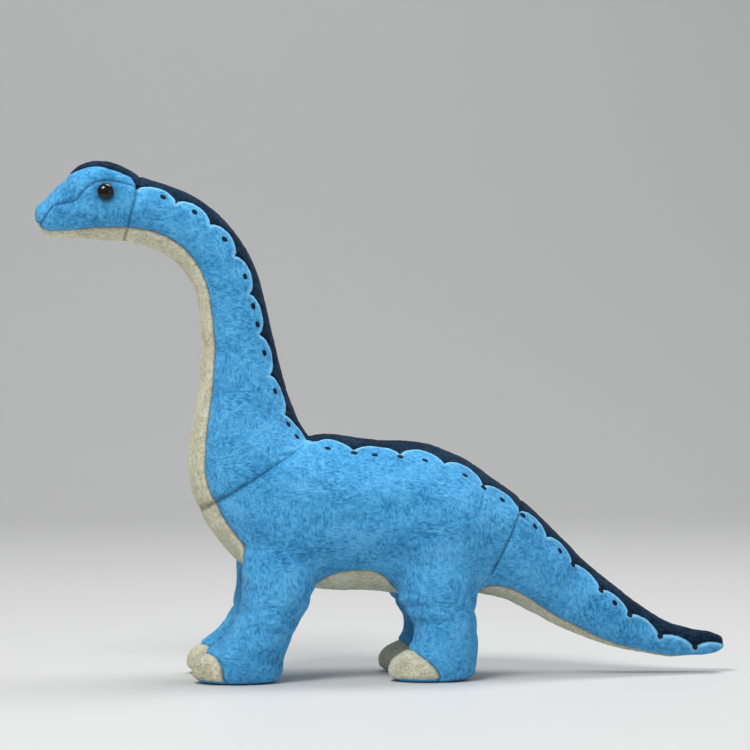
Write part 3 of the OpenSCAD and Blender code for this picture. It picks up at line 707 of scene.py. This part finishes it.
def ramp(tree, fac, stops):
    node = add(tree, "ShaderNodeValToRGB")
    tree.links.new(fac, node.inputs["Fac"])
    elements = node.color_ramp.elements
    while len(elements) < len(stops):
        elements.new(0.5)
    for element, (place, colour) in zip(elements, stops):
        element.position, element.color = place, (*colour, 1)
    return node.outputs["Color"]


def plush(name, dark, middle, light, rim, sheen, tint):
    """Short-pile plush: fine nap in two directions coloured by its height, as painted shade in its pits and painted
    light on its tips; brushed patches; painted shade in the seam grooves, partly real where the pile parts; and a
    painted highlight along the scalloped edges.
    """
    mat, tree, shader = shader_nodes(name)
    rest = add(tree, "ShaderNodeAttribute", attribute_name="rest").outputs["Vector"]
    seam = add(tree, "ShaderNodeAttribute", attribute_name="seam").outputs["Fac"]
    edge = add(tree, "ShaderNodeAttribute", attribute_name="rim").outputs["Fac"]
    shade = add(tree, "ShaderNodeAttribute", attribute_name="shade").outputs["Fac"]
    down = noise_node(tree, rest, 780, 3, (1, 1, 0.42), (0, 0.35, 0))
    along = noise_node(tree, rest, 780, 3, (0.42, 1, 1), (0, 0.5, 0))
    which = ramp(tree, noise_node(tree, rest, 45, 2), [(0.4, (0, 0, 0)), (0.6, (1, 1, 1))])
    fibres = mix_colour(tree, which, down, along)
    clumps = noise_node(tree, rest, 300, 2)
    brushed = noise_node(tree, rest, 55, 3, (0.7, 1, 1), (0, 0.6, 0))
    height = math_node(tree, "ADD", math_node(tree, "MULTIPLY", fibres, 0.68),
                       math_node(tree, "MULTIPLY", clumps, 0.32))
    # The pile's colour follows its bump height: painted shade in the pits between fibre clumps and painted light on
    # their tips, mixed with the brushed patches' random tone.
    tone = math_node(tree, "ADD", math_node(tree, "MULTIPLY", height, 0.74),
                     math_node(tree, "MULTIPLY", brushed, 0.26))
    colour = ramp(tree, tone, [(0.39, dark), (0.5, middle), (0.59, light)])
    dabs = ramp(tree, noise_node(tree, rest, 75, 2), [(0.6, (0, 0, 0)), (0.7, (1, 1, 1))])
    colour = mix_colour(tree, math_node(tree, "MULTIPLY", dabs, 0.4), colour, dark)
    # Painted highlight: the blue beside each scalloped edge is mixed towards the pale rim colour.
    colour = mix_colour(tree, math_node(tree, "MULTIPLY", edge, 0.7), colour, rim)
    # Painted shade in the seam grooves and the turned-in allowance, with some real darkening where the pile parts.
    colour = mix_colour(tree, math_node(tree, "MULTIPLY", seam, 0.8), colour, tuple(c * 0.35 for c in dark))
    colour = mix_colour(tree, math_node(tree, "MULTIPLY", shade, 0.75), colour, tuple(c * 0.3 for c in dark))
    tree.links.new(colour, shader.inputs["Base Color"])
    bump = add(tree, "ShaderNodeBump", Strength=1.0, Distance=0.0016)
    tree.links.new(height, bump.inputs["Height"])
    tree.links.new(bump.outputs["Normal"], shader.inputs["Normal"])
    shader.inputs["Roughness"].default_value = 0.95
    shader.inputs["Specular IOR Level"].default_value = 0.1
    shader.inputs["Sheen Weight"].default_value = sheen
    shader.inputs["Sheen Roughness"].default_value = 0.4
    shader.inputs["Sheen Tint"].default_value = (*tint, 1)
    return mat


def fibre_fill():
    mat, tree, shader = shader_nodes("fibre_fill")
    rest = add(tree, "ShaderNodeTexCoord").outputs["Object"]
    wool = noise_node(tree, rest, 220, 5, (1, 0.5, 1))
    colour = ramp(tree, wool, [(0.3, (0.7, 0.7, 0.68)), (0.7, (0.92, 0.92, 0.9))])
    tree.links.new(colour, shader.inputs["Base Color"])
    bump = add(tree, "ShaderNodeBump", Strength=0.7, Distance=0.002)
    tree.links.new(wool, bump.inputs["Height"])
    tree.links.new(bump.outputs["Normal"], shader.inputs["Normal"])
    shader.inputs["Roughness"].default_value = 0.95
    return mat


def thread():
    """Satin stitch: fine parallel threads with a slight shine."""
    mat, tree, shader = shader_nodes("navy_thread")
    rest = add(tree, "ShaderNodeTexCoord").outputs["Object"]
    strands = noise_node(tree, rest, 900, 2, (1, 1, 0.12), (0, 0.5, 0))
    colour = ramp(tree, strands, [(0.35, (0.002, 0.006, 0.015)), (0.65, (0.008, 0.02, 0.045))])
    tree.links.new(colour, shader.inputs["Base Color"])
    bump = add(tree, "ShaderNodeBump", Strength=0.5, Distance=0.0004)
    tree.links.new(strands, bump.inputs["Height"])
    tree.links.new(bump.outputs["Normal"], shader.inputs["Normal"])
    shader.inputs["Roughness"].default_value = 0.75
    shader.inputs["Specular IOR Level"].default_value = 0.2
    return mat


def eye_plastic():
    """Polished black plastic with a faint brown depth and fine handling marks."""
    mat, tree, shader = shader_nodes("eye_black")
    rest = add(tree, "ShaderNodeTexCoord").outputs["Object"]
    marks = noise_node(tree, rest, 900, 4)
    colour = ramp(tree, marks, [(0.3, (0.004, 0.003, 0.003)), (0.75, (0.012, 0.009, 0.008))])
    tree.links.new(colour, shader.inputs["Base Color"])
    rough = add(tree, "ShaderNodeMapRange")
    rough.inputs["To Min"].default_value, rough.inputs["To Max"].default_value = 0.04, 0.1
    tree.links.new(marks, rough.inputs["Value"])
    tree.links.new(rough.outputs["Result"], shader.inputs["Roughness"])
    shader.inputs["Specular IOR Level"].default_value = 0.3
    shader.inputs["Coat Weight"].default_value = 0.15
    shader.inputs["Coat Roughness"].default_value = 0.02
    return mat


def washer_plastic():
    mat, tree, shader = shader_nodes("washer_white")
    rest = add(tree, "ShaderNodeTexCoord").outputs["Object"]
    grain = noise_node(tree, rest, 500, 3)
    colour = ramp(tree, grain, [(0.3, (0.68, 0.68, 0.65)), (0.7, (0.78, 0.78, 0.75))])
    tree.links.new(colour, shader.inputs["Base Color"])
    shader.inputs["Roughness"].default_value = 0.45
    return mat


def studio_floor():
    mat, tree, shader = shader_nodes("floor")
    shader.inputs["Base Color"].default_value = (0.66, 0.66, 0.65, 1)
    shader.inputs["Roughness"].default_value = 0.5
    return mat


# Each plush takes its pile's dark, middle and light stops (also used for the painted shade in pits, seams and eye
# sockets and the painted light on pile tips), the colour of its painted edge highlight, and its sheen weight and
# tint.
BLUE = plush("blue_plush", (0.025, 0.185, 0.41), (0.07, 0.36, 0.69), (0.13, 0.49, 0.86),
             (0.28, 0.68, 0.96), 0.2, (0.7, 0.88, 1.0))
NAVY = plush("navy_plush", (0.002, 0.007, 0.018), (0.0055, 0.019, 0.042), (0.013, 0.04, 0.08),
             (0.015, 0.045, 0.09), 0.1, (0.45, 0.65, 0.9))
CREAM = plush("cream_plush", (0.42, 0.40, 0.27), (0.62, 0.60, 0.44), (0.76, 0.75, 0.60),
              (0.85, 0.84, 0.72), 0.2, (1.0, 0.98, 0.9))
MATERIALS = {"blue_plush": BLUE, "navy_plush": NAVY, "cream_plush": CREAM}


# ---------------------------------------------------------------- pieces of the skin
def boundary(t):
    """Directed edges that only one triangle uses."""
    e = np.concatenate([t[:, [0, 1]], t[:, [1, 2]], t[:, [2, 0]]])
    keys = e.min(1).astype(np.int64) * (e.max() + 1) + e.max(1)
    _, first, count = np.unique(keys, return_index=True, return_counts=True)
    return e[first[count == 1]]


def skin_piece(name, skin, normal, chosen, material):
    """A panel of the skin, with its edges turned in as a seam allowance."""
    t = skin.t[chosen]
    used, t = np.unique(t, return_inverse=True)
    t = t.reshape(-1, 3)
    rim = boundary(t)
    ends = np.unique(rim)
    v, n = skin.v[used], normal[used]
    inner = v[ends] - n[ends] * SKIRT
    inner[:, 2] = np.maximum(inner[:, 2], 0.1 * MM)
    index = np.full(len(v), -1)
    index[ends] = len(v) + np.arange(len(ends))
    a, b = rim[:, 0], rim[:, 1]
    skirt = np.concatenate([np.stack([b, a, index[a]], 1), np.stack([b, index[a], index[b]], 1)])
    faces = np.concatenate([t, skirt])
    points = np.concatenate([v, inner])
    mesh = bpy.data.meshes.new(name)
    mesh.vertices.add(len(points))
    mesh.vertices.foreach_set("co", points.ravel())
    mesh.loops.add(faces.size)
    mesh.loops.foreach_set("vertex_index", faces.ravel().astype(np.int32))
    mesh.polygons.add(len(faces))
    mesh.polygons.foreach_set("loop_start", np.arange(0, faces.size, 3, dtype=np.int32))
    mesh.polygons.foreach_set("loop_total", np.full(len(faces), 3, np.int32))
    mesh.update(calc_edges=True)
    mesh.shade_smooth()
    point_normals = np.concatenate([n, n[ends]])
    loops = point_normals[faces.ravel()]
    corner = np.cross(points[faces[:, 1]] - points[faces[:, 0]], points[faces[:, 2]] - points[faces[:, 0]])
    corner /= np.linalg.norm(corner, axis=1)[:, None] + 1e-20
    loops.reshape(-1, 3, 3)[len(t):] = corner[len(t):, None]
    mesh.normals_split_custom_set(loops)
    # The turned-in allowance gets the full painted seam shade and none of the other painted marks.
    for key in ("seam", "rim", "shade"):
        values = np.concatenate([skin.f[key][used], np.full(len(ends), key == "seam")])
        mesh.attributes.new(key, "FLOAT", "POINT").data.foreach_set("value", values.astype(np.float32))
    rest = mesh.attributes.new("rest", "FLOAT_VECTOR", "POINT")
    rest.data.foreach_set("vector", points.astype(np.float32).ravel())
    mesh.materials.append(MATERIALS[material])
    obj = bpy.data.objects.new(name, mesh)
    bpy.context.scene.collection.objects.link(obj)
    return obj


def section(u):
    return trunk(np.full(24, u), np.arange(0, 360, 15))


def blend_along(obj, body_a, body_b, first, last):
    """Measures the span between two stations along a piece, then bakes its transform into its mesh without bending
    it.
    """
    a, b = (trunk(u, 0, reach=0)[0] for u in (first, last))
    way = (b - a) / np.linalg.norm(b - a)
    low = ((section(first) - a) @ way).max()
    high = ((section(last) - a) @ way).min()
    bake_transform(obj)


ZONES = {
    "neck_top": ("upper_neck", "head", NECK_CUTS[0], HEAD_SEAM),
    "neck_middle": ("lower_neck", "upper_neck", NECK_CUTS[1], NECK_CUTS[0]),
    "neck_base": ("body", "lower_neck", SHOULDER_SEAM, NECK_CUTS[1]),
    "tail_root": ("body", "tail", TAIL_SEAM, TAIL_CUT),
    "tail_end": ("tail", "tail_tip", TAIL_CUT, 27.4),
}


def bend(obj, zone):
    if zone in ZONES:
        blend_along(obj, *ZONES[zone])
    else:
        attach(obj, zone)


def zone_of(skin):
    """Zone number of each triangle along the trunk, and the zones' names."""
    names = ["head", "neck_top", "neck_middle", "neck_base", "body", "tail_root", "tail_end"]
    number = sum((skin.side(f) > 0).astype(int) for f in ("head", "neck_a", "neck_b", "shoulder", "rump", "tail"))
    return number, names


NODE_PARTS = {
    "neck_top": "upper_neck", "neck_middle": "", "neck_base": "lower_neck", "body": "body",
    "tail_root": "tail", "tail_end": "tail_tip"}
UNDERSIDE = {"upper_neck": "upper_neck_throat", "lower_neck": "lower_neck_throat", "body": "belly",
             "tail": "tail_underside", "tail_tip": "tail_tip_underside"}


def stand_for(part, kind):
    """Replaces the CAD node of that panel, where the zone has one."""
    if part:
        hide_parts(UNDERSIDE[part] if kind == "under" else f"{part}_{kind}")


def build_skin():
    v, t = skin_mesh()
    skin = Skin(v, t)
    trunk_fields(skin)
    leg_fields(skin)
    shape_skin(skin)
    for name in ("head", "neck_a", "neck_b", "shoulder", "rump", "tail", "zone", "back", "belly", "brow",
                 "middle", "toe", "sole", "split"):
        skin.cut(name)
    normal = normals_of(skin.v, skin.t)
    number, names = zone_of(skin)
    in_leg = skin.side("zone") < 0
    back, belly = skin.side("back") < 0, skin.side("belly") < 0
    centre = skin.v[skin.t].mean(1)
    left = centre[:, 1] < 0
    for i, zone in enumerate(names):
        mine = (number == i) & ~in_leg
        if zone == "head":
            brow = skin.side("brow") < 0
            kinds = {
                "crest": (back & (skin.side("u") > 2.9), "navy_plush"),
                "chin": (belly, "cream_plush")}
            top = kinds["crest"][0]
            for side, here in (("left", left), ("right", ~left)):
                kinds[f"brow_{side}"] = (~top & ~belly & brow & here, "blue_plush")
                kinds[f"cheek_{side}"] = (~top & ~belly & ~brow & here, "blue_plush")
            for name, (chosen, material) in kinds.items():
                obj = skin_piece(f"skin_{name}", skin, normal, mine & chosen, material)
                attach(obj, "head")
                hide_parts(name)
            continue
        kinds = {
            "back": (back, "navy_plush"), "under": (belly & ~back, "cream_plush"),
            "left": (~back & ~belly & left, "blue_plush"), "right": (~back & ~belly & ~left, "blue_plush")}
        for kind, (chosen, material) in kinds.items():
            obj = skin_piece(f"skin_{zone}_{kind}", skin, normal, mine & chosen, material)
            bend(obj, zone)
            stand_for(NODE_PARTS[zone], kind)
    build_leg_skins(skin, normal, in_leg, centre)
    return skin, normal


def build_leg_skins(skin, normal, in_leg, centre):
    toe, sole, outer = skin.side("toe") < 0, skin.side("sole") < 0, skin.side("split") > 0
    for name, (rings, side) in LEGS.items():
        mine = in_leg & (centre[:, 1] * side > 0) & (np.abs(centre[:, 0] - rings[4, 1]) < 55 * MM)
        kinds = {
            "sole": (sole, "blue_plush"), "toe_cap": (toe & ~sole, "cream_plush"),
            "leg_outer": (~toe & ~sole & outer, "blue_plush"), "leg_inner": (~toe & ~sole & ~outer, "blue_plush")}
        for kind, (chosen, material) in kinds.items():
            obj = skin_piece(f"skin_{name}_{kind}", skin, normal, mine & chosen, material)
            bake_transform(obj)
            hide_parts(f"{name}_{kind}")


# ---------------------------------------------------------------- stuffing
def lumpy(rings, seed):
    """Rings with soft lumps pushed in and out from their own middle."""
    made = []
    for r in rings:
        c = r.mean(0)
        made.append(c + (r - c) * (1 + 0.05 * noise(r, 9 * MM, seed))[:, None])
    return made


def stuffing_piece(name, rings, body, material, seed):
    verts, faces = tube(lumpy(rings, seed))
    obj = make_object(name, verts, faces)
    obj.data.materials.append(material)
    obj.data.shade_smooth()
    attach(obj, body)
    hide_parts(name.replace("fill_", "") + "_stuffing")


def build_stuffing():
    """Loose filling in each part, rounded towards the joints and clear of the skin."""
    material = fibre_fill()
    around = np.arange(0, 360, 15)
    depth = -6 * MM
    spans = {"head": (0.9, 4.75), "upper_neck": (5.7, 9.5), "lower_neck": (10.3, 14.0), "body": (15.6, 21.4),
             "tail": (22.6, 25.2), "tail_tip": (26.2, 29.6)}
    for seed, (name, (first, last)) in enumerate(spans.items()):
        steps = np.linspace(0, 1, 22)
        rings = []
        for f in steps:
            end = np.sqrt(np.clip(1 - (2 * f - 1) ** 8, 0.03, 1))
            u = first + (last - first) * f
            rings.append(trunk(np.full(len(around), u), around, lift=depth, reach=end))
        stuffing_piece(f"fill_{name}", rings[::1], name, material, seed + 20)
    a = np.radians(around)
    for seed, (name, (rings_of, side)) in enumerate(LEGS.items()):
        rings = []
        for f in np.linspace(0, 1, 16):
            z = (5 + 47 * f) * MM
            end = np.sqrt(np.clip(1 - (2 * f - 1) ** 8, 0.03, 1))
            cx, half, wide = leg_section(rings_of, np.array([z]))
            half, wide = (half + depth) * end, (wide + depth) * end
            rings.append(np.stack([
                cx - half * np.cos(a), side * (LEG_OFFSET + wide * np.sin(a)), np.full(len(a), z)], 1))
        rings = rings if side > 0 else [r[::-1] for r in rings]
        stuffing_piece(f"fill_{name}_leg", rings, f"{name}_leg", material, seed + 40)


# ---------------------------------------------------------------- spots
NECK_SPOTS = (0.65, 1.5, 2.5, 3.55, 4.3, 4.75, 5.45, 6.4, 7.25, 7.6)
BODY_SPOTS = (0.45, 1.0, 1.45, 2.0, 2.55, 3.5, 4.0, 4.5)
TAIL_SPOTS = (0.1, 0.55, 1.5, 2.0, 3.0, 3.5, 4.0, 5.0, 6.0)
SPOT_RADIUS = 1.75 * MM
SPOT_BELOW_SEAM = 9


def spot_mesh(skin, normal, u, side):
    """A small dome of satin stitches lying on the skin below the scalloped edge."""
    angle = cusp_angle(np.array([u]))[0] + SPOT_BELOW_SEAM
    p = trunk(u, side * angle)[0]
    i = ((skin.v - p) ** 2).sum(1).argmin()
    near = ((skin.v - skin.v[i]) ** 2).sum(1) < (2.5 * MM) ** 2
    n = normal[near].mean(0)
    n /= np.linalg.norm(n)
    x = np.cross(n, (0, 1, 0))
    x /= np.linalg.norm(x)
    y = np.cross(n, x)
    base = p + n * ((skin.v[near] - p) @ n).max()
    a = np.radians(np.arange(0, 360, 15))
    rings = []
    for reach, rise in ((1.0, -0.6), (1.0, -0.05), (0.9, 0.1), (0.65, 0.17), (0.3, 0.2)):
        ridges = 0.04 * np.cos(a * 12) * (reach < 1)
        r = SPOT_RADIUS * reach
        rings.append(base + np.outer(np.cos(a) * r * 1.15, x) + np.outer(np.sin(a) * r * 0.9, y)
                     + np.outer((rise + ridges) * MM, n))
    return tube(rings)


def build_spots(skin, normal):
    material = thread()
    wholes = (("neck", NECK_SPOTS, SCALLOPS[0]), ("body", BODY_SPOTS, SCALLOPS[1]), ("tail", TAIL_SPOTS, SCALLOPS[2]))
    groups = {}
    for part, places, (first, last, count) in wholes:
        a, b = at_u(first, BACK_LENGTH), at_u(last, BACK_LENGTH)
        for place in places:
            u = np.interp(a + (b - a) * place / count, BACK_LENGTH, SPINE_U)
            if part == "neck":
                zone = "neck_top" if u < NECK_CUTS[0] else "neck_middle" if u < NECK_CUTS[1] else "neck_base"
            else:
                zone = "body" if part == "body" else "tail_root" if u < TAIL_CUT else "tail_end"
            groups.setdefault(zone, []).extend((u, side) for side in (-1, 1))
    for zone, spots in groups.items():
        verts, faces = np.zeros((0, 3)), []
        for u, side in spots:
            more, more_faces = spot_mesh(skin, normal, u, side)
            faces += [tuple(i + len(verts) for i in f) for f in more_faces]
            verts = np.concatenate([verts, more])
        obj = make_object(f"spots_{zone}", verts, faces)
        obj.data.materials.append(material)
        obj.data.shade_smooth()
        bend(obj, zone)
        if NODE_PARTS[zone]:
            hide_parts(NODE_PARTS[zone] + "_spots")


# ---------------------------------------------------------------- eyes
EYE_RADIUS = 5 * MM


def build_eyes():
    """Domed eye with a rounded edge, a flat back and a ribbed shank, turned about its own axis."""
    material = eye_plastic()
    profile = [(0.0, 3.7)]
    profile += [(5.0 * math.sin(math.radians(x)), 0.6 + 3.1 * math.cos(math.radians(x))) for x in range(8, 89, 8)]
    profile += [(5.0, 0.35), (4.85, 0.1), (4.5, 0.0), (1.6, 0.0), (1.45, -0.4)]
    for ridge in range(6):
        profile += [(1.5, -0.8 - ridge), (1.3, -1.3 - ridge)]
    profile += [(1.2, -7.4), (0.6, -7.6)]
    a = np.radians(np.arange(0, 360, 6))
    for side, name in ((-1, "eye_left"), (1, "eye_right")):
        p, n = eye_frame(side)
        x = np.cross(n, (0, 0, 1))
        x /= np.linalg.norm(x)
        y = np.cross(n, x)
        seat = p - n * 0.9 * MM
        rings = [seat + np.outer(np.cos(a) * r * MM, x) + np.outer(np.sin(a) * r * MM, y) + n * h * MM
                 for r, h in profile[1:]]
        verts, faces = tube([r[::-1] for r in rings][::-1] if side < 0 else [r[::-1] for r in rings][::-1])
        obj = make_object(f"glossy_{name}", verts, faces)
        obj.data.materials.append(material)
        obj.data.shade_smooth()
        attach(obj, "head")
        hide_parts(name)
    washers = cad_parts["eye_washers"]
    washers.data.materials.clear()
    washers.data.materials.append(washer_plastic())


# ---------------------------------------------------------------- scene
CAMERA_AZIMUTH, CAMERA_ELEVATION, CAMERA_DISTANCE = -6.0, 1.5, 2.1
VIEW_WIDTH = 0.465 * SCALE


def build_camera():
    lo, hi = CAD_BOX
    aim = Vector(((lo.x + hi.x) / 2 - 5.6 * MM, 0, lo.z + 186.6 * MM))
    a, e = math.radians(CAMERA_AZIMUTH), math.radians(CAMERA_ELEVATION)
    back = Vector((math.sin(a) * math.cos(e), -math.cos(a) * math.cos(e), math.sin(e)))
    data = bpy.data.cameras.new("camera")
    data.sensor_width = 36
    data.lens = 36 * CAMERA_DISTANCE / VIEW_WIDTH
    cam = bpy.data.objects.new("camera", data)
    bpy.context.scene.collection.objects.link(cam)
    cam.location = aim + back * CAMERA_DISTANCE
    cam.rotation_mode = "QUATERNION"
    cam.rotation_quaternion = (-back).to_track_quat("-Z", "Y")
    bpy.context.scene.camera = cam


def area_light(name, place, aim, size, power, colour=(1, 1, 1)):
    data = bpy.data.lights.new(name, "AREA")
    data.size, data.energy, data.color = size, power, colour
    obj = bpy.data.objects.new(name, data)
    bpy.context.scene.collection.objects.link(obj)
    obj.location = place
    obj.rotation_mode = "QUATERNION"
    obj.rotation_quaternion = (Vector(aim) - Vector(place)).to_track_quat("-Z", "Y")


def build_studio():
    mesh_side, drop = 4.0, 0.0005
    steps = np.linspace(0, math.pi / 2, 14)
    profile = [(-mesh_side, -drop)] + [(1.4 + 0.9 * math.sin(s), 0.9 * (1 - math.cos(s)) - drop) for s in steps]
    profile.append((2.3, 3.0))
    verts = [(x, y, z) for y, z in profile for x in (-mesh_side, mesh_side)]
    faces = [(2 * i, 2 * i + 1, 2 * i + 3, 2 * i + 2) for i in range(len(profile) - 1)]
    floor = make_object("studio_sweep", verts, faces)
    floor.data.shade_smooth()
    floor.data.materials.append(studio_floor())
    middle = (0, 0, 0.15)
    area_light("key", (-0.7, -1.0, 1.8), middle, 0.7, 30)
    area_light("top", (0.4, 0.3, 1.8), middle, 0.9, 20)
    area_light("fill", (1.5, -1.4, 0.6), middle, 1.4, 3)
    world = bpy.data.worlds.new("studio")
    world.use_nodes = True
    world.node_tree.nodes["Background"].inputs["Color"].default_value = (0.93, 0.96, 1.0, 1)
    world.node_tree.nodes["Background"].inputs["Strength"].default_value = 0.26
    bpy.context.scene.world = world
    bpy.context.scene.view_settings.view_transform = "Standard"


build_camera()
build_studio()
whole_skin, skin_normals = build_skin()
build_stuffing()
build_spots(whole_skin, skin_normals)
build_eyes()
